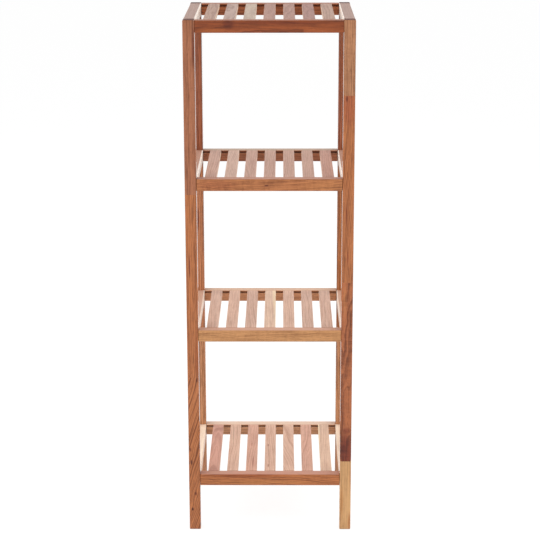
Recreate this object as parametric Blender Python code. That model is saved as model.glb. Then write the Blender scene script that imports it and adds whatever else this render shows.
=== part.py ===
# Open bathroom shelf unit in solid hardwood: four posts, two ladder sides and four slatted shelves.
# Metres, +Z up. X runs across the width and Y from front to back, with the front at -Y.
# The origin is on the floor, under the middle of the unit.

import math

import bmesh
import bpy

# Overall size
unit_width = 0.348
unit_depth = 0.330
unit_height = 1.100

# Posts
post_side = 0.024
post_arris = 0.002

# Shelf levels, from the floor up, evenly spaced between the bottom one and the top one
level_names = ("bottom", "lower", "upper", "top")
screwed_levels = ("bottom", "top")
bottom_shelf_height = 0.127

# Front and back rails
rail_height = 0.025
rail_thickness = 0.022
rail_setback = 0.001
rail_arris = 0.001

# Side rails, whose inner faces are flush with the posts' and whose tops stand a little over the shelves
side_rail_height = 0.025
side_rail_thickness = 0.023
side_rail_rise = 0.001

# Slats, spread evenly between the posts, with their tops flush with the front and back rails
slat_count = 7
slat_width = 0.024
slat_thickness = 0.010
slat_arris = 0.0008

# Groove along the inner face of each front and back rail, and the slat tongues in it
groove_lip = 0.002
groove_height = 0.0045
groove_depth = 0.005
tongue_shoulder = 0.002

# Stub tenons on the rail ends, in mortises in the posts
rail_mortise_depth = 0.0065
rail_tenon_cheek = 0.0065
rail_tenon_shoulder = 0.005
side_mortise_depth = 0.008
side_tenon_cheek = 0.0075
side_tenon_shoulder = 0.005

# Connector screws, each through a post into the end of a rail
screw_length = 0.050
screw_shank = 0.005
screw_tip = 0.0025
screw_tip_length = 0.004
screw_head = 0.010
screw_head_height = 0.003
screw_head_recess = 0.0004
socket_width = 0.004
socket_sides = 6
socket_depth = 0.0022

# Space left round each piece that fits into another
fit_gap = 0.0003

# How finely rounded edges and round pieces are faceted
arris_steps = 3
screw_sides = 20
smooth_below = math.radians(35)

# Sizes that follow from those above
inner_width = unit_width - 2 * post_side
side_span = unit_depth - 2 * post_side
slat_span = unit_depth - 2 * (rail_setback + rail_thickness)
slat_space = (inner_width - slat_count * slat_width) / (slat_count + 1)
top_shelf_height = unit_height - side_rail_rise
level_pitch = (top_shelf_height - bottom_shelf_height) / (len(level_names) - 1)
level_heights = {name: bottom_shelf_height + step * level_pitch for step, name in enumerate(level_names)}

rail_tenon_thickness = rail_thickness - 2 * rail_tenon_cheek
rail_tenon_height = rail_height - 2 * rail_tenon_shoulder
side_tenon_thickness = side_rail_thickness - 2 * side_tenon_cheek
side_tenon_height = side_rail_height - 2 * side_tenon_shoulder

rail_centre_below = rail_height / 2
side_rail_centre_below = side_rail_height / 2 - side_rail_rise
rail_from_post_centre = rail_setback + rail_thickness / 2 - post_side / 2
side_rail_from_post_centre = (post_side - side_rail_thickness) / 2

# A cutter runs on past the face that it opens, so that the cut comes out clean
overcut = 0.005


def clear_scene():
    for thing in list(bpy.data.objects):
        bpy.data.objects.remove(thing, do_unlink=True)


def linear(value):
    return value / 12.92 if value <= 0.04045 else ((value + 0.055) / 1.055) ** 2.4


def finish(name, colour, roughness, metallic=0.0):
    # colour is sRGB, 0 to 255
    material = bpy.data.materials.new(name)
    material.use_nodes = True
    shader = material.node_tree.nodes["Principled BSDF"]
    shader.inputs["Base Color"].default_value = [linear(c / 255) for c in colour] + [1.0]
    shader.inputs["Roughness"].default_value = roughness
    shader.inputs["Metallic"].default_value = metallic
    material.diffuse_color = shader.inputs["Base Color"].default_value
    return material


def bar(size, arris=0.0, along=None, centre=(0, 0, 0)):
    # A box with rounded edges: only those that run along one axis, or all of them where none is named
    shape = bmesh.new()
    bmesh.ops.create_cube(shape, size=1.0)
    bmesh.ops.scale(shape, vec=size, verts=shape.verts)
    if arris:
        rounded = [
            edge
            for edge in shape.edges
            if along is None or abs((edge.verts[0].co - edge.verts[1].co)[along]) > size[along] / 2
        ]
        bmesh.ops.bevel(
            shape, geom=rounded, offset=arris, segments=arris_steps, profile=0.5, affect="EDGES"
        )
    bmesh.ops.translate(shape, vec=centre, verts=shape.verts)
    return mesh_from(shape)


def turned(profile, sides, centre=(0, 0, 0)):
    # A shape turned about the X axis from (place along X, radius) points that start and end on the axis
    shape = bmesh.new()
    points = [shape.verts.new((along, 0, radius)) for along, radius in profile]
    lines = [shape.edges.new(pair) for pair in zip(points, points[1:])]
    bmesh.ops.spin(
        shape, geom=points + lines, cent=(0, 0, 0), axis=(1, 0, 0), angle=2 * math.pi, steps=sides
    )
    bmesh.ops.remove_doubles(shape, verts=shape.verts, dist=1e-6)
    bmesh.ops.recalc_face_normals(shape, faces=shape.faces)
    bmesh.ops.translate(shape, vec=centre, verts=shape.verts)
    return mesh_from(shape)


def round_cutter(start, end, radius, y, z):
    return turned([(start, 0), (start, radius), (end, radius), (end, 0)], screw_sides, (0, y, z))


def mesh_from(shape):
    mesh = bpy.data.meshes.new("shape")
    shape.to_mesh(mesh)
    shape.free()
    return mesh


def carved(name, body, joined=(), cut=()):
    # The body's mesh with other meshes joined to it and then cut from it
    worked = bpy.data.objects.new(name, body)
    bpy.context.scene.collection.objects.link(worked)
    helpers = []
    for operation, meshes in (("UNION", joined), ("DIFFERENCE", cut)):
        for mesh in meshes:
            helper = bpy.data.objects.new(name + "_helper", mesh)
            helper.hide_render = True
            helper.display_type = "WIRE"
            bpy.context.scene.collection.objects.link(helper)
            helpers.append(helper)
            boolean = worked.modifiers.new(operation.title(), "BOOLEAN")
            boolean.operation = operation
            boolean.solver = "EXACT"
            boolean.object = helper
    graph = bpy.context.evaluated_depsgraph_get()
    finished = bpy.data.meshes.new_from_object(worked.evaluated_get(graph))
    finished.name = name
    for thing in [worked] + helpers:
        bpy.data.objects.remove(thing, do_unlink=True)
    finished.shade_smooth()
    finished.set_sharp_from_angle(angle=smooth_below)
    finished.materials.clear()
    finished.materials.append(None)
    return finished


def place(name, mesh, material, location, turned_round=False):
    # Each piece is its own object under the unit, and pieces that are alike share a mesh
    piece = bpy.data.objects.new(name, mesh)
    bpy.context.scene.collection.objects.link(piece)
    piece.parent = unit
    piece.location = location
    piece.rotation_euler.z = math.pi if turned_round else 0.0
    piece.material_slots[0].link = "OBJECT"
    piece.material_slots[0].material = material
    return piece


# Posts

def rail_mortise(z, inward):
    # Opens on the post's inner side face
    reach = rail_mortise_depth + overcut
    size = (reach, rail_tenon_thickness + 2 * fit_gap, rail_tenon_height + 2 * fit_gap)
    x = inward * (post_side / 2 - rail_mortise_depth + reach / 2)
    return bar(size, centre=(x, rail_from_post_centre, z - rail_centre_below))


def side_mortise(z, inward):
    # Opens on the face that looks along the side of the unit
    reach = side_mortise_depth + overcut
    size = (side_tenon_thickness + 2 * fit_gap, reach, side_tenon_height + 2 * fit_gap)
    x = inward * side_rail_from_post_centre
    y = post_side / 2 - side_mortise_depth + reach / 2
    return bar(size, centre=(x, y, z - side_rail_centre_below))


def screw_hole(z, inward):
    # Shank hole right through to the mortise, with a flat-bottomed sinking for the head
    mouth = -inward * (post_side / 2 + overcut)
    sinking = -inward * (post_side / 2 - screw_head_recess - screw_head_height - fit_gap)
    end = inward * (post_side / 2 + overcut)
    head = screw_head / 2 + fit_gap
    shank = screw_shank / 2 + fit_gap
    profile = [(mouth, 0), (mouth, head), (sinking, head), (sinking, shank), (end, shank), (end, 0)]
    return turned(profile, screw_sides, (0, rail_from_post_centre, z - rail_centre_below))


def post_mesh(name, inward):
    # A front post: inward is +1 on the left and -1 on the right
    body = bar((post_side, post_side, unit_height), post_arris, centre=(0, 0, unit_height / 2))
    cuts = []
    for level, height in level_heights.items():
        cuts += [rail_mortise(height, inward), side_mortise(height, inward)]
        if level in screwed_levels:
            cuts.append(screw_hole(height, inward))
    return carved(name, body, cut=cuts)


def make_posts():
    # A back post is the front post of the other side turned round
    left, right = post_mesh("post_left", 1), post_mesh("post_right", -1)
    x = (unit_width - post_side) / 2
    y = (unit_depth - post_side) / 2
    front = finish("front_post_wood", (160, 100, 72), 0.5)
    back = finish("back_post_wood", (140, 84, 60), 0.5)
    place("post_front_left", left, front, (-x, -y, 0))
    place("post_front_right", right, front, (x, -y, 0))
    place("post_back_left", right, back, (-x, y, 0), turned_round=True)
    place("post_back_right", left, back, (x, y, 0), turned_round=True)


# Front and back rails

def rail_mesh(name, screwed):
    # A front rail about its own centre, with the groove on its +Y face
    body = bar((inner_width - 2 * fit_gap, rail_thickness, rail_height), rail_arris, along=0)
    tenon_to_tenon = inner_width + 2 * (rail_mortise_depth - fit_gap)
    tenons = bar((tenon_to_tenon, rail_tenon_thickness, rail_tenon_height))
    groove_top = rail_height / 2 - groove_lip
    groove = bar(
        (inner_width + 2 * overcut, groove_depth + overcut, groove_height),
        centre=(0, rail_thickness / 2 + (overcut - groove_depth) / 2, groove_top - groove_height / 2),
    )
    carved_body = carved(name + "_body", body, cut=[groove])
    holes = []
    if screwed:
        mouth = inner_width / 2 + rail_mortise_depth + overcut
        bottom = unit_width / 2 - screw_head_recess - screw_length - fit_gap
        radius = screw_shank / 2 + fit_gap
        holes = [
            round_cutter(-mouth, -bottom, radius, 0, 0),
            round_cutter(bottom, mouth, radius, 0, 0),
        ]
    return carved(name, carved_body, joined=[tenons], cut=holes)


def make_rails():
    # A back rail is a front rail turned round
    meshes = {True: rail_mesh("rail_screwed", True), False: rail_mesh("rail_plain", False)}
    y = unit_depth / 2 - rail_setback - rail_thickness / 2
    colours = {
        "top": (150, 90, 62),
        "upper": (176, 118, 80),
        "lower": (190, 136, 96),
        "bottom": (168, 108, 72),
    }
    for level, height in level_heights.items():
        mesh = meshes[level in screwed_levels]
        wood = finish("rail_wood_" + level, colours[level], 0.5)
        z = height - rail_centre_below
        place("rail_front_" + level, mesh, wood, (0, -y, z))
        place("rail_back_" + level, mesh, wood, (0, y, z), turned_round=True)


# Side rails

def side_rail_mesh():
    body = bar(
        (side_rail_thickness, side_span - 2 * fit_gap, side_rail_height), rail_arris, along=1
    )
    tenon_to_tenon = side_span + 2 * (side_mortise_depth - fit_gap)
    tenons = bar((side_tenon_thickness, tenon_to_tenon, side_tenon_height))
    return carved("side_rail", body, joined=[tenons])


def make_side_rails():
    mesh = side_rail_mesh()
    wood = finish("side_rail_wood", (196, 152, 124), 0.5)
    x = inner_width / 2 + side_rail_thickness / 2
    for level, height in level_heights.items():
        z = height - side_rail_centre_below
        place("side_rail_left_" + level, mesh, wood, (-x, 0, z))
        place("side_rail_right_" + level, mesh, wood, (x, 0, z), turned_round=True)


# Slats

def slat_mesh():
    # About the middle of its top face. The tongues are one thin bar that runs through the slat.
    body = bar(
        (slat_width, slat_span - 2 * fit_gap, slat_thickness),
        slat_arris,
        along=1,
        centre=(0, 0, -slat_thickness / 2),
    )
    tongues = bar(
        (
            slat_width - 2 * tongue_shoulder,
            slat_span + 2 * (groove_depth - fit_gap),
            groove_height - 2 * fit_gap,
        ),
        centre=(0, 0, -groove_lip - groove_height / 2),
    )
    return carved("slat", body, joined=[tongues])


def make_slats():
    mesh = slat_mesh()
    colours = {
        "top": (190, 162, 146),
        "upper": (197, 162, 144),
        "lower": (219, 187, 166),
        "bottom": (216, 180, 156),
    }
    for level, height in level_heights.items():
        wood = finish("slat_wood_" + level, colours[level], 0.5)
        for count in range(slat_count):
            x = (count + 1) * slat_space + (count + 0.5) * slat_width - inner_width / 2
            place(f"slat_{level}_{count + 1}", mesh, wood, (x, 0, height))


# Connector screws

def screw_mesh():
    # Lies along +X with the top of its head at the origin
    body = turned(
        [
            (0, 0),
            (0, screw_head / 2),
            (screw_head_height, screw_head / 2),
            (screw_head_height, screw_shank / 2),
            (screw_length - screw_tip_length, screw_shank / 2),
            (screw_length, screw_tip / 2),
            (screw_length, 0),
        ],
        screw_sides,
    )
    corner = socket_width / 2 / math.cos(math.pi / socket_sides)
    socket = turned(
        [(-overcut, 0), (-overcut, corner), (socket_depth, corner), (socket_depth, 0)], socket_sides
    )
    return carved("connector_screw", body, cut=[socket])


def make_screws():
    mesh = screw_mesh()
    steel = finish("zinc_plated_steel", (150, 152, 156), 0.35, 1.0)
    x = unit_width / 2 - screw_head_recess
    y = unit_depth / 2 - rail_setback - rail_thickness / 2
    for level in screwed_levels:
        z = level_heights[level] - rail_centre_below
        for row, side_y in (("front", -y), ("back", y)):
            place(f"screw_{row}_left_{level}", mesh, steel, (-x, side_y, z))
            place(f"screw_{row}_right_{level}", mesh, steel, (x, side_y, z), turned_round=True)


clear_scene()
unit = bpy.data.objects.new("shelf_unit", None)
bpy.context.scene.collection.objects.link(unit)
make_posts()
make_rails()
make_side_rails()
make_slats()
make_screws()
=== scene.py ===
import math
import random

import bmesh
import bpy
from mathutils import Matrix, Vector


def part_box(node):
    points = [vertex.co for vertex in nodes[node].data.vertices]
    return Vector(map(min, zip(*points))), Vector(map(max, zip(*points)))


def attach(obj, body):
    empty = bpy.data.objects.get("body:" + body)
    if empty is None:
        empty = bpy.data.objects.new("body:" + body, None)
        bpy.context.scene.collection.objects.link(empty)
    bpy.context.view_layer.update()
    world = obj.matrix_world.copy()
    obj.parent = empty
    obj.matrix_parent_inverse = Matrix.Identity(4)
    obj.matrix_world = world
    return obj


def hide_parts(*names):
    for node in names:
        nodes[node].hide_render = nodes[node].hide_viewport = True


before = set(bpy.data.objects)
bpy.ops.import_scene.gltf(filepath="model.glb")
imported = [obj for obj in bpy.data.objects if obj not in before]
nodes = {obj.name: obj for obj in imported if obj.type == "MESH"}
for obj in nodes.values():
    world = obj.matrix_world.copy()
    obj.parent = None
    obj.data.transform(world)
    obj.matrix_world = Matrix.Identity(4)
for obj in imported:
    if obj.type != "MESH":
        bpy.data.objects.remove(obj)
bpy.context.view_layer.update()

# Bathroom shelf unit in oiled acacia: every board gets its own cut of wood, the screws their zinc.
scene = bpy.context.scene
mm = 0.001


# Small helpers

def toLinear(hexColour):
    # sRGB hex to linear RGBA
    parts = [int(hexColour[i:i + 2], 16) / 255 for i in (1, 3, 5)]
    return [c / 12.92 if c <= 0.04045 else ((c + 0.055) / 1.055) ** 2.4 for c in parts] + [1.0]


def addNode(tree, kind, values=None):
    # A lower-case name sets a property, any other key an input: to a number or a colour, or by a link.
    # A node given as a value stands for its first output in use.
    node = tree.nodes.new(kind)
    for key, value in (values or {}).items():
        if isinstance(value, bpy.types.Node):
            value = next(socket for socket in value.outputs if socket.enabled)
        if isinstance(value, bpy.types.NodeSocket):
            tree.links.new(value, node.inputs[key])
        elif isinstance(key, str) and key[0].islower():
            setattr(node, key, value)
        else:
            node.inputs[key].default_value = value
    return node


smooth = {"interpolation_type": "SMOOTHSTEP"}  # for a map range with soft ends
colourMix = {"data_type": "RGBA"}  # for a mix of colours: input 0 is the share, 6 and 7 are the colours


def emptyNodes(owner):
    # The cleared node tree of a material or a world
    owner.use_nodes = True
    owner.node_tree.nodes.clear()
    return owner.node_tree


def boardFrame(node, grainAxis):
    # Board's own axes: X along the grain, with the origin in the middle of the board
    lowest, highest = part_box(node)
    turns = {"x": (0, 1, 2), "y": (1, 2, 0), "z": (2, 0, 1)}  # the board's axes in the world, by grain
    turn = Matrix.Identity(4)
    for column, axis in enumerate(turns[grainAxis]):
        for row in range(3):
            turn[row][column] = 1.0 if row == axis else 0.0
    return Matrix.Translation((lowest + highest) / 2) @ turn


# Camera: a long lens in front, a little above the top shelf

cameraView = {
    "place": (0.0244, -3.5315, 1.4979),  # m
    "down": 15.209,  # degrees
    "turn": 0.400,
    "roll": 0.100,
    "lens": 111.97,  # mm
    "sensor": 36.0,  # mm
}


def makeCamera():
    data = bpy.data.cameras.new("camera")
    data.sensor_width = cameraView["sensor"]
    data.lens = cameraView["lens"]
    camera = bpy.data.objects.new("camera", data)
    scene.collection.objects.link(camera)
    aim = Matrix.Rotation(math.radians(cameraView["turn"]), 4, "Z")
    aim @= Matrix.Rotation(math.radians(90 - cameraView["down"]), 4, "X")
    aim @= Matrix.Rotation(math.radians(-cameraView["roll"]), 4, "Z")
    camera.matrix_world = Matrix.Translation(cameraView["place"]) @ aim
    scene.camera = camera


# Studio: white sweep, even daylight all round, and a big soft box at each of the four corners

studio = {
    "daylight": 0.58,       # strength of the world on what it lights
    "floorSide": 60.0,      # m
    "floorGap": 0.2,        # mm under the feet
    "floorColour": "#e6e6e6",
    "floorGlow": 0.75,      # share of the floor that is plain white, the rest keeps the shadow
    "floorGlowStrength": 1.17,  # with the rest it makes the floor white
    "boxSide": 1.6,         # m
    "boxAim": (0, 0, 0.6),  # m
    "boxes": {              # places in m, powers in W
        "frontLeftBox": {"place": (-2.3, -1.35, 1.9), "power": 36.5},
        "frontRightBox": {"place": (2.3, -1.35, 1.9), "power": 30.5},
        "backLeftBox": {"place": (-2.3, 1.5, 1.8), "power": 28.0},
        "backRightBox": {"place": (2.3, 1.5, 1.8), "power": 28.0},
    },
}


def seenRays(tree):
    # 1 for what the camera sees, also in a mirror or through glass, and 0 for light on the unit
    path = addNode(tree, "ShaderNodeLightPath").outputs
    seen = addNode(tree, "ShaderNodeMath", {
        "operation": "MAXIMUM", 0: path["Is Camera Ray"], 1: path["Is Glossy Ray"]})
    return addNode(tree, "ShaderNodeMath", {
        "operation": "MAXIMUM", 0: seen, 1: path["Is Transmission Ray"]})


def makeWorld():
    scene.world = bpy.data.worlds.new("daylight")
    tree = emptyNodes(scene.world)
    strength = addNode(tree, "ShaderNodeMapRange", {
        "Value": seenRays(tree), "To Min": studio["daylight"], "To Max": 1.0})
    sky = addNode(tree, "ShaderNodeBackground", {"Color": toLinear("#ffffff"), "Strength": strength})
    addNode(tree, "ShaderNodeOutputWorld", {"Surface": sky})


def makeFloor():
    half = studio["floorSide"] / 2
    mesh = bpy.data.meshes.new("floor")
    corners = [(-half, -half, 0), (half, -half, 0), (half, half, 0), (-half, half, 0)]
    mesh.from_pydata(corners, [], [(0, 1, 2, 3)])
    floor = bpy.data.objects.new("floor", mesh)
    floor.location.z = -studio["floorGap"] * mm
    scene.collection.objects.link(floor)
    sweep = bpy.data.materials.new("mattWhiteSweep")  # matt white paper sweep, keeps a faint soft shadow
    tree = emptyNodes(sweep)
    paper = addNode(tree, "ShaderNodeBsdfDiffuse", {"Color": toLinear(studio["floorColour"])})
    glow = addNode(tree, "ShaderNodeEmission", {
        "Color": toLinear("#ffffff"), "Strength": studio["floorGlowStrength"]})
    share = addNode(tree, "ShaderNodeMath", {
        "operation": "MULTIPLY", 0: seenRays(tree), 1: studio["floorGlow"]})
    mix = addNode(tree, "ShaderNodeMixShader", {0: share, 1: paper, 2: glow})
    addNode(tree, "ShaderNodeOutputMaterial", {"Surface": mix})
    mesh.materials.append(sweep)


def makeLights():
    for name, box in studio["boxes"].items():
        data = bpy.data.lights.new(name, "AREA")
        data.shape = "SQUARE"
        data.size = studio["boxSide"]
        data.energy = box["power"]
        light = bpy.data.objects.new(name, data)
        light.location = box["place"]
        aim = Vector(studio["boxAim"]) - light.location
        light.rotation_euler = aim.to_track_quat("-Z", "Y").to_euler()
        light.visible_camera = False
        scene.collection.objects.link(light)


makeCamera()
makeWorld()
makeFloor()
makeLights()
scene.view_settings.view_transform = "Standard"
print("camera, floor and lights are set")


# Wood grain, one node group for every board

grain = {  # noise: mm along the grain, mm across it, detail and distortion
    "wander": (170, 24, 1, 0),     # slow drift of the growth rings
    "ripple": (42, 16, 1, 0),      # short waves in them
    "streak": (150, 3.4, 2, 0.4),  # mineral streaks
    "mottle": (80, 7, 3, 0),       # cloudy changes of tone
    "curl": (6.5, 22, 2, 0.6),     # bands across the grain, where the fibres lean to and fro
    "fibre": (36, 1.6, 4, 0),      # real fibres are a tenth as wide: drawn as coarse as the picture shows
    "pore": (11, 1.1, 1, 0),       # pores too, which are 0.2 mm wide in acacia
}
rings = {
    "lateFull": 0.88,     # share of a ring's width where its late wood is darkest
    "lateEnd": 0.90,      # and where it starts to fall back to the next ring's early wood
    "widthPace": 0.45,    # how quickly the widths change from ring to ring
    "widthShift": 1.6,    # rings that the change can add to the count
    "faintest": 0.35,     # depth of the faintest rings, where the strongest have 1
    "faintNoise": 0.30,   # noise value that makes a ring one of the faintest
    "strongNoise": 0.62,  # and one of the strongest
}
figureLook = {
    "ground": 0.12,       # share of the dark tone in wood without figure
    "inSapwood": 0.30,    # share of the figure that shows in the sapwood
    "streakFrom": 0.56,   # noise values where streaks and pores start, and where they are full
    "streakFull": 0.74,
    "poreFrom": 0.60,
    "poreFull": 0.72,
    "poreDark": 0.55,     # how far a pore goes to the streaks' colour
}
grainSurface = {  # what each part of the grain adds to the bump's height and to the roughness
    "Height": {"Fibre": 1.4, "Pore": -1.2, "Ring": 0.35},
    "Roughness": {"End": 0.5, "Fibre": 0.18, "Pore": 0.16},
}
endGrain = {"from": 0.55, "to": 0.9, "tint": "#8c7472"}  # drinks more oil: dark, and matt without a film
grainSockets = {
    ("INPUT", "Vector"): ("Place", "Seed", "Pith", "Tilt"),
    ("INPUT", "Float"): (
        "Ring Width", "Late From", "Wander", "Ripple", "Ring Depth", "Mottle Depth", "Fibre Depth",
        "Curl Depth", "Streaks", "Pores", "Heart Radius", "Heart Edge"),
    ("INPUT", "Color"): ("Light", "Dark", "Streak", "Sap"),
    ("OUTPUT", "Color"): ("Color",),
    ("OUTPUT", "Float"): ("Height", "Roughness"),
}


def grainNoise(group, name, place):
    # Noise stretched along the grain
    along, across, detail, distortion = grain[name]
    scaled = addNode(group, "ShaderNodeVectorMath", {
        "operation": "MULTIPLY", 0: place, 1: (1 / along / mm, 1 / across / mm, 1 / across / mm)})
    return addNode(group, "ShaderNodeTexNoise", {
        "Vector": scaled, "Scale": 1.0, "Detail": detail, "Distortion": distortion})


def growthRings(group, given, place):
    # Distance from the pith, and the late wood: each ring has its own width and depth, and ends dark
    fromPith = addNode(group, "ShaderNodeVectorMath", {
        "operation": "SUBTRACT", 0: place, 1: given["Pith"]})
    fromPith = addNode(group, "ShaderNodeVectorMath", {
        "operation": "MULTIPLY", 0: fromPith, 1: (0, 1, 1)})
    radius = addNode(group, "ShaderNodeVectorMath", {"operation": "LENGTH", 0: fromPith})
    count = addNode(group, "ShaderNodeMath", {"operation": "DIVIDE", 0: radius, 1: given["Ring Width"]})
    pace = addNode(group, "ShaderNodeMath", {"operation": "MULTIPLY", 0: count, 1: rings["widthPace"]})
    uneven = addNode(group, "ShaderNodeTexNoise", {
        "noise_dimensions": "1D", "W": pace, "Scale": 1.0, "Detail": 2.0})
    shift = addNode(group, "ShaderNodeMath", {"operation": "MULTIPLY", 0: uneven, 1: rings["widthShift"]})
    count = addNode(group, "ShaderNodeMath", {"operation": "ADD", 0: count, 1: shift})
    part = addNode(group, "ShaderNodeMath", {"operation": "FRACT", 0: count})
    rise = addNode(group, "ShaderNodeMapRange", {
        **smooth, "Value": part, "From Min": given["Late From"], "From Max": rings["lateFull"]})
    fall = addNode(group, "ShaderNodeMapRange", {
        **smooth, "Value": part, "From Min": rings["lateEnd"], "To Min": 1.0, "To Max": 0.0})
    depth = addNode(group, "ShaderNodeMapRange", {
        **smooth, "Value": uneven, "From Min": rings["faintNoise"], "From Max": rings["strongNoise"],
        "To Min": rings["faintest"]})
    late = addNode(group, "ShaderNodeMath", {"operation": "MULTIPLY", 0: rise, 1: fall})
    late = addNode(group, "ShaderNodeMath", {"operation": "MULTIPLY", 0: late, 1: depth})
    return radius, late


def makeGrainGroup():
    group = bpy.data.node_groups.new("acaciaGrain", "ShaderNodeTree")
    for (side, kind), names in grainSockets.items():
        for name in names:
            group.interface.new_socket(name, in_out=side, socket_type="NodeSocket" + kind)
    given = addNode(group, "NodeGroupInput").outputs

    # Place in the board, turned to the slope of the grain and moved by the board's own seed
    wandered = addNode(group, "ShaderNodeMapping", {"Vector": given["Place"], "Rotation": given["Tilt"]})
    seeded = addNode(group, "ShaderNodeVectorMath", {"operation": "ADD", 0: wandered, 1: given["Seed"]})
    drifted = seeded
    for name in ("wander", "ripple"):
        drift = addNode(group, "ShaderNodeVectorMath", {
            "operation": "SUBTRACT", 0: grainNoise(group, name, seeded).outputs["Color"],
            1: (0.5, 0.5, 0.5)})
        drift = addNode(group, "ShaderNodeVectorMath", {
            "operation": "SCALE", 0: drift, "Scale": given[name.capitalize()]})
        wandered = addNode(group, "ShaderNodeVectorMath", {"operation": "ADD", 0: wandered, 1: drift})
        drifted = addNode(group, "ShaderNodeVectorMath", {"operation": "ADD", 0: drifted, 1: drift})

    # Each part of the grain darkens the wood by its own depth
    radius, late = growthRings(group, given, wandered)
    parts = {"Ring": late}
    for name in ("curl", "mottle", "fibre"):
        parts[name.capitalize()] = addNode(group, "ShaderNodeMath", {
            "operation": "SUBTRACT", 0: grainNoise(group, name, drifted), 1: 0.5})
    tone = figureLook["ground"]
    for name, part in parts.items():
        tone = addNode(group, "ShaderNodeMath", {
            "operation": "MULTIPLY_ADD", 0: part, 1: given[name + " Depth"], 2: tone})
    tone = addNode(group, "ShaderNodeClamp", {"Value": tone})
    heart = addNode(group, "ShaderNodeMix", {**colourMix, 0: tone, 6: given["Light"], 7: given["Dark"]})

    # Mineral streaks, then the sapwood outside the heartwood
    streak = addNode(group, "ShaderNodeMapRange", {
        **smooth, "Value": grainNoise(group, "streak", drifted), "From Min": figureLook["streakFrom"],
        "From Max": figureLook["streakFull"]})
    streak = addNode(group, "ShaderNodeMath", {"operation": "MULTIPLY", 0: streak, 1: given["Streaks"]})
    heart = addNode(group, "ShaderNodeMix", {**colourMix, 0: streak, 6: heart, 7: given["Streak"]})
    faint = addNode(group, "ShaderNodeMath", {
        "operation": "MULTIPLY", 0: tone, 1: figureLook["inSapwood"]})
    sap = addNode(group, "ShaderNodeMix", {**colourMix, 0: faint, 6: given["Sap"], 7: given["Light"]})
    edge = addNode(group, "ShaderNodeMath", {
        "operation": "SUBTRACT", 0: radius, 1: given["Heart Radius"]})
    edge = addNode(group, "ShaderNodeMath", {"operation": "DIVIDE", 0: edge, 1: given["Heart Edge"]})
    edge = addNode(group, "ShaderNodeMapRange", {  # half of its width on either side of the radius
        **smooth, "Value": edge, "From Min": -0.5, "From Max": 0.5})
    colour = addNode(group, "ShaderNodeMix", {**colourMix, 0: edge, 6: heart, 7: sap})

    # Pores: short dark dashes on the long faces, dots on the end grain
    pore = addNode(group, "ShaderNodeMapRange", {
        **smooth, "Value": grainNoise(group, "pore", drifted), "From Min": figureLook["poreFrom"],
        "From Max": figureLook["poreFull"]})
    pore = addNode(group, "ShaderNodeMath", {"operation": "MULTIPLY", 0: pore, 1: given["Pores"]})
    dark = addNode(group, "ShaderNodeMath", {
        "operation": "MULTIPLY", 0: pore, 1: figureLook["poreDark"]})
    colour = addNode(group, "ShaderNodeMix", {**colourMix, 0: dark, 6: colour, 7: given["Streak"]})

    # End grain, on faces that look along the board
    facing = addNode(group, "ShaderNodeSeparateXYZ", {
        0: addNode(group, "ShaderNodeTexCoord").outputs["Normal"]}).outputs["X"]
    facing = addNode(group, "ShaderNodeMath", {"operation": "ABSOLUTE", 0: facing})
    end = addNode(group, "ShaderNodeMapRange", {
        **smooth, "Value": facing, "From Min": endGrain["from"], "From Max": endGrain["to"]})
    colour = addNode(group, "ShaderNodeMix", {
        **colourMix, "blend_type": "MULTIPLY", 0: end, 6: colour, 7: toLinear(endGrain["tint"])})

    parts.update({"Pore": pore, "End": end})
    result = {"Color": colour}
    for name, shares in grainSurface.items():
        result[name] = 0.0
        for part, share in shares.items():
            result[name] = addNode(group, "ShaderNodeMath", {
                "operation": "MULTIPLY_ADD", 0: parts[part], 1: share, 2: result[name]})
    addNode(group, "NodeGroupOutput", result)
    return group


grainGroup = makeGrainGroup()


# Oiled acacia: planed and sanded solid wood under hardwax oil. A satin film with the grain's own colour
# below it, clear enough to mirror the white studio at a flat angle.

oiledAcacia = {"ior": 1.43, "bumpHeight": 0.15}  # height in mm

timber = {  # the tone of each board once oiled: one log and the next differ this much
    "umber": "#88431e",
    "plum": "#946354",
    "russet": "#97583c",
    "brown": "#9b6041",
    "taupe": "#9b6c59",
    "drab": "#9c796a",
    "nut": "#a37d67",
    "fawn": "#a68677",
    "oat": "#b49c86",
    "chestnut": "#a15c36",
    "orange": "#aa663a",
    "copper": "#aa6b41",
    "hazel": "#a8734f",
    "auburn": "#af7c66",
    "amber": "#b87a55",
    "ochre": "#b68153",
    "tan": "#c28a63",
    "honey": "#c39463",
    "straw": "#c4936f",
    "clay": "#b58b76",
    "sand": "#c19d88",
    "rose": "#c19b85",
    "salmon": "#bb8874",
    "coral": "#c3947d",
    "blush": "#c9a28a",
    "shell": "#cfad93",
    "almond": "#ddc1ac",
    "cream": "#e7d0b8",
}
shades = {"Light": "early", "Dark": "late", "Streak": "streak"}  # the grain's colours, as a cut names them
markReach = {"core": 0.3, "pinch": 3.5}  # in sizes of the mark: how far its tint is full and it bends grain
paintedLightFacing = {"from": 0.6, "to": 0.9}  # where the painted light goes: how squarely a face looks along the board's own Z

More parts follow.
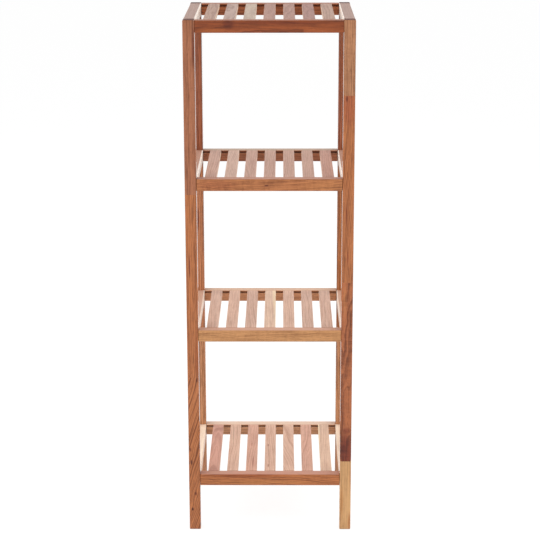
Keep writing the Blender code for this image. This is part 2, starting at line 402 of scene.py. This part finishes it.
plainCut = {  # what a board has unless its own entry says otherwise
    "tone": "brown",
    "pith": (0, -70),    # mm from the middle of the board, in the plane across the grain
    "tilt": (0, 0),      # slope of the grain, degrees about the board's Y and Z
    "ring": 3.6,         # mm
    "lateFrom": 0.25,    # share of the ring's width where the dark late wood begins
    "early": (1.31, 1.35, 1.39),  # early wood, late wood and mineral streaks, as shares of the tone
    "late": (0.54, 0.45, 0.38),
    "streak": (0.26, 0.20, 0.20),
    "wander": 9.0,       # mm
    "ripple": 2.0,       # mm
    "ringDepth": 0.75,
    "mottleDepth": 1.3,
    "fibreDepth": 1.4,
    "curlDepth": 0.25,
    "streaks": 0.55,
    "pores": 0.7,
    "sapwood": "#dcb184",
    "heart": 400.0,      # mm from the pith, where the pale sapwood starts
    "heartEdge": 6.0,
    "marks": (),         # knots and patches: place, size along and across in mm, tint to multiply by, pinch
    "roughness": 0.45,
    "bump": 0.25,
    "paintedLightTone": "cream",  # painted light on the side faces: a rail's top and bottom, a slat's left and right
    "paintedLightShare": 0.0,     # how far they go to that painted tone
    "seed": 1,
}


def addMark(tree, place, mark):
    # How near the wood is to a knot or a patch, a soft ellipsoid, and its place once the grain bends round
    offset = addNode(tree, "ShaderNodeVectorMath", {
        "operation": "SUBTRACT", 0: place, 1: [c * mm for c in mark["at"]]})
    along, across = mark["size"]
    scaled = addNode(tree, "ShaderNodeVectorMath", {
        "operation": "MULTIPLY", 0: offset, 1: (1 / along / mm, 1 / across / mm, 1 / across / mm)})
    away = addNode(tree, "ShaderNodeVectorMath", {"operation": "LENGTH", 0: scaled})
    near = addNode(tree, "ShaderNodeMapRange", {
        **smooth, "Value": away, "From Min": markReach["core"], "To Min": 1.0, "To Max": 0.0})
    if "pinch" in mark:
        wide = addNode(tree, "ShaderNodeMapRange", {
            **smooth, "Value": away, "From Max": markReach["pinch"], "To Min": mark["pinch"],
            "To Max": 0.0})
        pull = addNode(tree, "ShaderNodeVectorMath", {"operation": "MULTIPLY", 0: offset, 1: (0, 1, 1)})
        pull = addNode(tree, "ShaderNodeVectorMath", {"operation": "SCALE", 0: pull, "Scale": wide})
        place = addNode(tree, "ShaderNodeVectorMath", {"operation": "SUBTRACT", 0: place, 1: pull})
    return near, place


def makeWood(name, cut):
    cut = {**plainCut, **cut}
    wood = bpy.data.materials.new("oiledAcacia_" + name)
    tree = emptyNodes(wood)
    board = addNode(tree, "ShaderNodeTexCoord").outputs
    place = board["Object"]
    spots = []
    for mark in cut["marks"]:
        near, place = addMark(tree, place, mark)
        spots.append((near, mark["tint"]))
    shuffle = random.Random(cut["seed"])
    grown = addNode(tree, "ShaderNodeGroup", {
        "node_tree": grainGroup,
        "Place": place,
        "Seed": [shuffle.uniform(-9, 9) for _ in range(3)],
        "Pith": (0, cut["pith"][0] * mm, cut["pith"][1] * mm),
        "Tilt": (0, math.radians(cut["tilt"][0]), math.radians(cut["tilt"][1])),
        "Ring Width": cut["ring"] * mm,
        "Late From": cut["lateFrom"],
        "Wander": cut["wander"] * mm,
        "Ripple": cut["ripple"] * mm,
        "Ring Depth": cut["ringDepth"],
        "Mottle Depth": cut["mottleDepth"],
        "Fibre Depth": cut["fibreDepth"],
        "Curl Depth": cut["curlDepth"],
        "Streaks": cut["streaks"],
        "Pores": cut["pores"],
        "Heart Radius": cut["heart"] * mm,
        "Heart Edge": cut["heartEdge"] * mm,
        "Sap": toLinear(cut["sapwood"]),
    })
    tone = toLinear(timber[cut["tone"]])
    for socket, shade in shades.items():
        shaded = [min(1.0, c * share) for c, share in zip(tone, cut[shade])]
        grown.inputs[socket].default_value = [*shaded, 1.0]
    colour = grown.outputs["Color"]
    # Painted light: the side faces are mixed towards a paler tone, as if lit more than the rest
    if cut["paintedLightShare"]:
        facing = addNode(tree, "ShaderNodeSeparateXYZ", {0: board["Normal"]}).outputs["Z"]
        facing = addNode(tree, "ShaderNodeMath", {"operation": "ABSOLUTE", 0: facing})
        side = addNode(tree, "ShaderNodeMapRange", {
            "Value": facing, "From Min": paintedLightFacing["from"], "From Max": paintedLightFacing["to"],
            "To Max": cut["paintedLightShare"]})
        colour = addNode(tree, "ShaderNodeMix", {
            **colourMix, 0: side, 6: colour, 7: toLinear(timber[cut["paintedLightTone"]])})
    for near, tint in spots:
        colour = addNode(tree, "ShaderNodeMix", {
            **colourMix, "blend_type": "MULTIPLY", 0: near, 6: colour, 7: [*tint, 1.0]})
    rough = addNode(tree, "ShaderNodeMath", {
        "operation": "ADD", 0: grown.outputs["Roughness"], 1: cut["roughness"]})
    bump = addNode(tree, "ShaderNodeBump", {
        "Strength": cut["bump"], "Distance": oiledAcacia["bumpHeight"] * mm,
        "Height": grown.outputs["Height"]})
    surface = addNode(tree, "ShaderNodeBsdfPrincipled", {
        "Base Color": colour, "Roughness": rough, "Normal": bump, "IOR": oiledAcacia["ior"]})
    addNode(tree, "ShaderNodeOutputMaterial", {"Surface": surface})
    return wood


# Boards: each is its node's solid, welded, with softened ends and its own cut of wood

easing = {"width": 0.5, "steps": 2, "smoothBelow": 35}  # mm, and degrees
skinMend = {"weld": 0.002, "flatBelow": 0.5}  # mm, and degrees
shoulder = {"slack": 0.01, "square": 0.99}  # mm, and the least X of an end face's normal


def cleanMesh(name, node, place):
    # The node's triangles as one welded skin in the piece's own axes, with flat faces made whole
    mesh = nodes[node].data.copy()
    mesh.name = name
    mesh.transform(place.inverted())
    skin = bmesh.new()
    skin.from_mesh(mesh)
    bmesh.ops.remove_doubles(skin, verts=skin.verts, dist=skinMend["weld"] * mm)
    bmesh.ops.dissolve_limit(
        skin, angle_limit=math.radians(skinMend["flatBelow"]), verts=skin.verts, edges=skin.edges)
    skin.to_mesh(mesh)
    skin.free()
    mesh.materials.clear()
    return mesh


def easeEnds(mesh):
    # Rounds the outer edges of a board's shoulders, where it meets its neighbour
    skin = bmesh.new()
    skin.from_mesh(mesh)
    ends = [face for face in skin.faces if face.normal.x > shoulder["square"]]
    reach = max(ends, key=lambda face: face.calc_area()).calc_center_median().x
    rims = [
        edge for edge in skin.edges
        if edge.is_convex and all(abs(abs(v.co.x) - reach) < shoulder["slack"] * mm for v in edge.verts)
        and edge.calc_face_angle() > math.radians(easing["smoothBelow"])
    ]
    bmesh.ops.bevel(
        skin, geom=rims, offset=easing["width"] * mm, segments=easing["steps"], profile=0.5,
        affect="EDGES")
    skin.to_mesh(mesh)
    skin.free()


def finishPiece(name, node, mesh, place):
    mesh.shade_smooth()
    mesh.set_sharp_from_angle(angle=math.radians(easing["smoothBelow"]))
    piece = bpy.data.objects.new(name, mesh)
    scene.collection.objects.link(piece)
    piece.matrix_world = place
    flat = piece.modifiers.new("flatFaces", "WEIGHTED_NORMAL")  # large faces shade flat, only edges round
    flat.keep_sharp = True
    flat.weight = 100
    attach(piece, "root")
    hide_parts(node)


def makeBoard(node, grainAxis, cut):
    place = boardFrame(node, grainAxis)
    mesh = cleanMesh(node + "_board", node, place)
    easeEnds(mesh)
    mesh.materials.append(makeWood(node, cut))
    finishPiece(node + "_board", node, mesh, place)


# Front and back rails. A mark at Y -11 lies on the front face.

grooveShade = {"at": (0, -6.5, 8.2), "size": (900, 4.8), "tint": (0.6, 0.48, 0.42)}  # painted shade: a dark band along the top of the back rail's front face, where the groove lies in shade under the slats
paintedRailSheen = {"paintedLightShare": 0.85}  # painted sheen: the top and bottom faces are painted paler than the front face, for the light the tops catch
plainRail = {"ringDepth": 0.55, "mottleDepth": 0.9, "fibreDepth": 0.9, "marks": (grooveShade,)}  # little figure
# The second tone of each rail is painted light on its top and bottom faces
railCuts = {
    "rail_front_top": {
        "tone": "umber", "paintedLightTone": "brown", "pith": (60, -18), "ring": 4.2, "ripple": 3, "seed": 11,
        "marks": (
            {"at": (-82, -11, 5), "size": (17, 13), "tint": (0.58, 0.46, 0.50)},
            {"at": (20, -11, 8), "size": (120, 5), "tint": (0.80, 0.70, 0.70)},
            {"at": (-120, -11, -8), "size": (40, 8), "tint": (1.15, 1.25, 1.2)},
            {"at": (90, -11, -4), "size": (60, 9), "tint": (1.15, 1.2, 1.2)})},
    "rail_front_upper": {
        "tone": "copper", "paintedLightTone": "auburn", "pith": (12, -52), "ring": 2.6, "ripple": 4,
        "curlDepth": 0.8, "seed": 12, "tilt": (3, 0), "marks": (
            {"at": (-6, -11, -1), "size": (6, 2.6), "tint": (0.30, 0.18, 0.20), "pinch": 0.5},
            {"at": (-110, -11, 0), "size": (60, 16), "tint": (0.92, 0.84, 0.86)},
            {"at": (110, -11, -2), "size": (60, 16), "tint": (1.08, 1.12, 1.08)})},
    "rail_front_lower": {
        "tone": "ochre", "paintedLightTone": "coral", "pith": (-30, -60), "ring": 4.4, "ripple": 4, "seed": 13,
        "streaks": 0.1, "ringDepth": 0.35, "fibreDepth": 1.1, "curlDepth": 0.5, "tilt": (2, 0)},
    "rail_front_bottom": {
        "tone": "orange", "paintedLightTone": "salmon", "pith": (8, -44), "tilt": (-3.5, 0), "ring": 3.6,
        "lateFrom": 0.4, "ringDepth": 1.0, "ripple": 4, "seed": 14, "wander": 14, "marks": (
            {"at": (-60, -11, 10), "size": (130, 6), "tint": (0.80, 0.66, 0.60)},
            {"at": (-20, -11, -6), "size": (150, 8), "tint": (1.12, 1.25, 1.25)})},
    "rail_back_top": {
        **plainRail, "tone": "chestnut", "paintedLightTone": "russet", "pith": (50, 30), "seed": 15},
    "rail_back_upper": {
        **plainRail, "tone": "brown", "paintedLightTone": "oat", "pith": (-55, 20), "seed": 16, "ring": 3.0},
    "rail_back_lower": {
        **plainRail, "tone": "tan", "paintedLightTone": "shell", "pith": (10, -58), "seed": 17, "ring": 3.2,
        "streaks": 0.2},
    "rail_back_bottom": {
        **plainRail, "tone": "straw", "paintedLightTone": "almond", "pith": (35, -40), "seed": 18, "ring": 3.3,
        "streaks": 0.1},
}


def makeRails():
    for node, cut in railCuts.items():
        makeBoard(node, "x", {**paintedRailSheen, **cut})


# Side rails

calmGrain = {  # pale boards are quieter than the rest
    "early": (1.22, 1.27, 1.31), "late": (0.78, 0.66, 0.62), "ringDepth": 0.6, "mottleDepth": 1.0,
    "fibreDepth": 0.7, "streaks": 0.15, "pores": 0.3}
innerFacePaintedLight = {"sapwood": "#eedac9", "heartEdge": 0.8, "wander": 1.0, "ripple": 0.3}  # painted light: pale sapwood on the inner face, in place of the light that face catches
paintedLightSapDepth = {"heart": 210.2}  # mm from a pith 200 mm off: the sapwood starts 1.3 mm under the inner face, so only that face shows the painted light
brighterPaintedLight = {**paintedLightSapDepth, "sapwood": "#f9eee4"}  # painted light, paler still on the upper two levels
sideRailCuts = {
    "side_rail_left_top": {"tone": "drab", "pith": (0, -200), "seed": 31, **brighterPaintedLight},
    "side_rail_right_top": {"tone": "drab", "pith": (4, 200), "seed": 32, **brighterPaintedLight},
    "side_rail_left_upper": {"tone": "clay", "pith": (-3, -200), "seed": 33, **brighterPaintedLight},
    "side_rail_right_upper": {"tone": "clay", "pith": (2, 200), "seed": 34, **brighterPaintedLight},
    "side_rail_left_lower": {"tone": "rose", "pith": (3, -200), "seed": 35, **paintedLightSapDepth},
    "side_rail_right_lower": {"tone": "rose", "pith": (-4, 200), "seed": 36, **paintedLightSapDepth},
    "side_rail_left_bottom": {"tone": "cream", "pith": (-60, 20), "seed": 37, "streaks": 0.2},
    "side_rail_right_bottom": {"tone": "cream", "pith": (-50, -20), "seed": 38, "streaks": 0.2},
}


def makeSideRails():
    for node, cut in sideRailCuts.items():
        makeBoard(node, "y", {**calmGrain, **innerFacePaintedLight, **cut})


# Slats, from left to right on each level. A mark at Y 5 lies on the top face.

slatLevels = {  # figure: how strongly the grain shows. seed: the slats' seeds count on from it
    "top": {
        "figure": 1.4, "seed": 130,
        "tones": ("nut", "fawn", "oat", "taupe", "taupe", "plum", "nut")},
    "upper": {
        "figure": 1.15, "seed": 120,
        "tones": ("clay", "sand", "clay", "clay", "clay", "clay", "auburn")},
    "lower": {
        "figure": 1.1, "seed": 110,
        "tones": ("rose", "blush", "rose", "shell", "blush", "rose", "rose")},
    "bottom": {
        "figure": 1.1, "seed": 100,
        "tones": ("salmon", "blush", "coral", "blush", "blush", "coral", "shell")},
}
paintedSlatSideLight = {"paintedLightShare": 0.6}  # painted light: the slats' left and right faces are painted paler, for the light they catch at a flat angle
slatSpread = {  # where each slat lay in its log
    "turn": (-1, 1),        # radians round the pith
    "distance": (35, 90),   # mm from it
    "ring": (2.6, 4.2),     # mm
    "tilt": (-2, 2),        # degrees
}
slatCuts = {  # slats whose figure stands out, or is calmer than the others
    "slat_upper_2": {"pith": (-25, 60), "tilt": (0, 0.8)},
    "slat_upper_6": {"pith": (-22, -58), "tilt": (0, -0.8)},
    "slat_lower_2": {"pith": (-30, 55), "tilt": (0, 0.8)},
    "slat_lower_4": {"pith": (-10, -60), "heart": 69.5, "heartEdge": 4, "wander": 4, "sapwood": "#e6cba8"},
    "slat_bottom_1": {"pith": (-24, 2), "tilt": (0, 2.5), "ring": 3.4},
    "slat_bottom_3": {"pith": (-34, -30), "tilt": (0, -1.5), "marks": (
        {"at": (-90, 5, 3), "size": (46, 2.2), "tint": (0.68, 0.50, 0.47)},
        {"at": (15, 5, -1.5), "size": (16, 1.8), "tint": (0.74, 0.58, 0.54)})},
    "slat_bottom_4": {"marks": (
        {"at": (10, 5, -5), "size": (11, 2.2), "tint": (0.54, 0.36, 0.32)},
        {"at": (-112, 5, -4), "size": (14, 2.2), "tint": (0.56, 0.40, 0.34)})},
    "slat_bottom_5": {"pith": (-40, 30), "tilt": (-9, 0), "ring": 4.5},
    "slat_bottom_7": {"pith": (0, 60), "heart": 70.8, "heartEdge": 2, "wander": 2, "sapwood": "#ecd5b0"},
}


def makeSlats():
    depths = ("ringDepth", "mottleDepth", "fibreDepth")
    for level, look in slatLevels.items():
        figured = {depth: calmGrain[depth] * look["figure"] for depth in depths}
        for count, tone in enumerate(look["tones"], 1):
            node = f"slat_{level}_{count}"
            seed = look["seed"] + count
            shuffle = random.Random(seed)
            turn = shuffle.uniform(*slatSpread["turn"])
            distance = shuffle.uniform(*slatSpread["distance"])
            cut = {
                **calmGrain,
                **figured,
                **paintedSlatSideLight,
                "tone": tone,
                "pith": (-distance * math.cos(turn), distance * math.sin(turn)),
                "ring": shuffle.uniform(*slatSpread["ring"]),
                "tilt": (shuffle.uniform(*slatSpread["tilt"]), shuffle.uniform(*slatSpread["tilt"])),
                "seed": seed,
                **slatCuts.get(node, {}),
            }
            makeBoard(node, "y", cut)


# Posts: finger-jointed from short lengths, so the wood changes at each joint

fingers = {  # mm
    "length": 10.0,
    "pitch": 4.0,
    "sideOverrun": 5.0,   # how far a cutting block stands out of the post's sides
    "endOverrun": 20.0,   # and out of its ends
    "weld": 0.01,
}

postJoints = {  # the joint line on the front face, m above the floor
    "post_front_left": (0.3466, 0.7421),
    "post_front_right": (0.1575, 0.5549, 0.9472),
    "post_back_left": (0.3500, 0.7450),
    "post_back_right": (0.3400, 0.7350),
}

postCuts = {  # from the foot up, with marks on the front face, at Z -12
    "post_front_left": (
        {"tone": "orange", "pith": (30, 60), "tilt": (0, -17), "ring": 3.2, "lateFrom": 0.5,
         "ringDepth": 1.3, "seed": 51, "streaks": 0.7, "marks": (
             {"at": (-503, -5, -12), "size": (5.5, 3.2), "tint": (0.22, 0.14, 0.14), "pinch": 0.4},
             {"at": (-467, 2.4, -12), "size": (6, 3.5), "tint": (0.45, 0.32, 0.30), "pinch": 0.4},
             {"at": (-395, -6, -12), "size": (9, 3.2), "tint": (0.36, 0.25, 0.25)},
             {"at": (-366, -8, -12), "size": (7, 2.4), "tint": (0.42, 0.30, 0.30)},
             {"at": (-209, 8, -12), "size": (7, 2.4), "tint": (0.50, 0.36, 0.36)})},
        {"tone": "orange", "pith": (-80, 10), "ring": 4.2, "ripple": 4, "seed": 52, "marks": (
            {"at": (40, -4.4, -12), "size": (34, 1.9), "tint": (0.42, 0.26, 0.38)},
            {"at": (-160, 8, -12), "size": (60, 5), "tint": (0.90, 0.78, 0.72)})},
        {"tone": "brown", "pith": (-90, 14), "ring": 3.0, "lateFrom": 0.4, "ringDepth": 0.45,
         "seed": 53, "marks": (
             {"at": (495, 9.5, -12), "size": (60, 4), "tint": (0.62, 0.45, 0.45)},
             {"at": (550, 0, -12), "size": (60, 14), "tint": (0.90, 0.88, 0.82)})},
    ),
    "post_front_right": (
        {"tone": "honey", "pith": (70, 30), "ring": 6, "ringDepth": 0.25, "fibreDepth": 0.55, "seed": 54,
         "ripple": 4, "streaks": 0.1, "pores": 0.3, "marks": (
             {"at": (-485, -7.5, -12), "size": (50, 4.5), "tint": (0.93, 0.80, 0.68)},
             {"at": (-535, 10, -12), "size": (34, 6), "tint": (0.80, 0.62, 0.50)},
             {"at": (-430, 12, -12), "size": (40, 5), "tint": (0.84, 0.68, 0.58)})},
        {"tone": "chestnut", "pith": (4, 24), "tilt": (2, 1), "ring": 3.6, "ripple": 5, "seed": 209,
         "wander": 14, "streaks": 0.6, "ringDepth": 0.9, "curlDepth": 0.9, "marks": (
             {"at": (-372, 0, -12), "size": (64, 24), "tint": (0.50, 0.28, 0.26)},
             {"at": (-364, -5, -12), "size": (16, 9), "tint": (0.62, 0.50, 0.50)},
             {"at": (-322, 2, -12), "size": (9, 12), "tint": (0.72, 0.58, 0.58)},
             {"at": (-35, -5, -12), "size": (44, 6), "tint": (1.12, 1.25, 1.2)})},
        {"tone": "orange", "pith": (60, -24), "ring": 3.2, "lateFrom": 0.4, "ripple": 3, "tilt": (0, -3),
         "seed": 56, "marks": (
             {"at": (59, 0, -12), "size": (22, 1.8), "tint": (0.62, 0.42, 0.42)},
             {"at": (149, -3.6, -12), "size": (34, 1.8), "tint": (0.62, 0.42, 0.42)},
             {"at": (378, 0, -12), "size": (60, 18), "tint": (0.88, 0.72, 0.80)},
             {"at": (391, -5, -12), "size": (9, 3.4), "tint": (0.42, 0.32, 0.32)})},
        {"tone": "hazel", "pith": (-70, 0), "ring": 2.8, "lateFrom": 0.4, "ringDepth": 0.6,
         "curlDepth": 0.6, "seed": 57},
    ),
    "post_back_left": (
        {"tone": "tan", "pith": (50, -40), "ringDepth": 1.3, "seed": 58},
        {"tone": "amber", "pith": (-60, 20), "ringDepth": 1.2, "seed": 59, "marks": (
            {"at": (70, 0, -12), "size": (40, 2.5), "tint": (0.45, 0.30, 0.34)},)},
        {"tone": "russet", "pith": (-80, 8), "ringDepth": 1.0, "seed": 60},
    ),
    "post_back_right": (
        {"tone": "tan", "pith": (60, -20), "ringDepth": 1.3, "seed": 61},
        {"tone": "copper", "pith": (40, 40), "ringDepth": 1.1, "seed": 62},
        {"tone": "russet", "pith": (-50, 30), "ringDepth": 1.2, "seed": 63},
    ),
}
postGrain = {"roughness": 0.14, "bump": 0.06}  # the posts are planed smoother than the rest


def fingerBlock(low, high, halfSide):
    # A block from one joint to the next, its ends cut to a zigzag that shows on the post's side faces
    depth = halfSide + fingers["sideOverrun"] * mm
    step = fingers["pitch"] / 2 * mm
    turns = math.ceil(depth / step)
    zigzag = [(step * n, fingers["length"] * mm * (n % 2)) for n in range(-turns, turns + 1)]
    outline = [(y, low + tip) for y, tip in zigzag] + [(y, high + tip) for y, tip in reversed(zigzag)]
    block = bmesh.new()
    face = block.faces.new([block.verts.new((z, -depth, y)) for y, z in outline])
    pushed = bmesh.ops.extrude_face_region(block, geom=[face])["geom"]
    bmesh.ops.translate(
        block, vec=(0, 2 * depth, 0), verts=[v for v in pushed if isinstance(v, bmesh.types.BMVert)])
    bmesh.ops.recalc_face_normals(block, faces=block.faces)
    mesh = bpy.data.meshes.new("fingerBlock")
    block.to_mesh(mesh)
    block.free()
    return mesh


def cutLength(whole, cutter):
    # What the block takes out of the post: its materials tell which face came from which
    body = bpy.data.objects.new("jointedPost", whole)
    tool = bpy.data.objects.new("fingerCutter", cutter)
    for thing in (body, tool):
        scene.collection.objects.link(thing)
    cut = body.modifiers.new("cut", "BOOLEAN")
    cut.operation = "INTERSECT"
    cut.solver = "EXACT"
    cut.material_mode = "TRANSFER"
    cut.object = tool
    graph = bpy.context.evaluated_depsgraph_get()
    length = bpy.data.meshes.new_from_object(body.evaluated_get(graph))
    for thing in (body, tool):
        bpy.data.objects.remove(thing)
    return length


def jointLengths(whole, ends, halfSide):
    # The post as one skin, in which each face's material number is that of its length of wood
    outside = bpy.data.materials.new("outside")
    inside = bpy.data.materials.new("inside")
    whole.materials.append(outside)
    skin = bmesh.new()
    for index, (low, high) in enumerate(zip(ends, ends[1:])):
        cutter = fingerBlock(low, high, halfSide)
        cutter.materials.append(inside)
        length = cutLength(whole, cutter)
        hidden = length.materials.find("inside")
        before = len(skin.faces)
        skin.from_mesh(length)
        skin.faces.ensure_lookup_table()
        fresh = skin.faces[before:]
        glued = [face for face in fresh if face.material_index == hidden]
        for face in fresh:
            face.material_index = index
        bmesh.ops.delete(skin, geom=glued, context="FACES")
    bmesh.ops.remove_doubles(skin, verts=skin.verts, dist=fingers["weld"] * mm)
    mesh = bpy.data.meshes.new("jointed")
    skin.to_mesh(mesh)
    skin.free()
    bpy.data.materials.remove(outside)
    bpy.data.materials.remove(inside)
    return mesh


def makePost(node):
    place = boardFrame(node, "z")
    lowest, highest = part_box(node)
    middle = (lowest.z + highest.z) / 2
    past = fingers["endOverrun"] * mm
    ends = [z - middle for z in (lowest.z - past, *postJoints[node], highest.z + past)]
    whole = cleanMesh(node + "_whole", node, place)
    mesh = jointLengths(whole, ends, (highest.x - lowest.x) / 2)
    mesh.name = node + "_jointed"
    for index, cut in enumerate(postCuts[node], 1):
        mesh.materials.append(makeWood(f"{node}_{index}", {**postGrain, **cut}))
    finishPiece(node + "_jointed", node, mesh, place)


# Connector screws: steel, turned, with a pressed hexagon socket, bright zinc plated. Cool satin metal.

zincPlatedSteel = {
    "colour": "#c3c7cb",
    "dull": "#9a9fa5",
    "roughness": (0.24, 0.40),  # where it is clear, and where it is clouded
    "cloud": 0.8,  # mm
    "cloudDetail": 3.0,
}
screwRim = {"width": 0.3, "steps": 3, "sharperThan": 60}  # mm, and degrees


def makeZinc():
    zinc = bpy.data.materials.new("zincPlatedSteel")
    tree = emptyNodes(zinc)
    cloud = addNode(tree, "ShaderNodeTexNoise", {
        "Vector": addNode(tree, "ShaderNodeTexCoord").outputs["Object"],
        "Scale": 1 / zincPlatedSteel["cloud"] / mm, "Detail": zincPlatedSteel["cloudDetail"]})
    colour = addNode(tree, "ShaderNodeMix", {
        **colourMix, 0: cloud, 6: toLinear(zincPlatedSteel["colour"]),
        7: toLinear(zincPlatedSteel["dull"])})
    clear, clouded = zincPlatedSteel["roughness"]
    rough = addNode(tree, "ShaderNodeMapRange", {"Value": cloud, "To Min": clear, "To Max": clouded})
    surface = addNode(tree, "ShaderNodeBsdfPrincipled", {
        "Base Color": colour, "Metallic": 1.0, "Roughness": rough})
    addNode(tree, "ShaderNodeOutputMaterial", {"Surface": surface})
    return zinc


def roundRims(mesh):
    # Softens the sharp rims of a screw's head and socket
    skin = bmesh.new()
    skin.from_mesh(mesh)
    rims = [
        edge for edge in skin.edges
        if len(edge.link_faces) == 2 and edge.is_convex
        and edge.calc_face_angle() > math.radians(screwRim["sharperThan"])
    ]
    bmesh.ops.bevel(
        skin, geom=rims, offset=screwRim["width"] * mm, segments=screwRim["steps"], profile=0.5,
        affect="EDGES")
    skin.to_mesh(mesh)
    skin.free()


def makeScrews():
    zinc = makeZinc()
    for node in nodes:
        if node.startswith("screw_"):
            place = boardFrame(node, "x")
            mesh = cleanMesh(node + "_zinc", node, place)
            roundRims(mesh)
            mesh.materials.append(zinc)
            finishPiece(node + "_zinc", node, mesh, place)


for post in postJoints:
    makePost(post)
print("posts are jointed")
makeRails()
makeSideRails()
print("rails are finished")
makeSlats()
print("slats are finished")
makeScrews()
print("screws are plated")
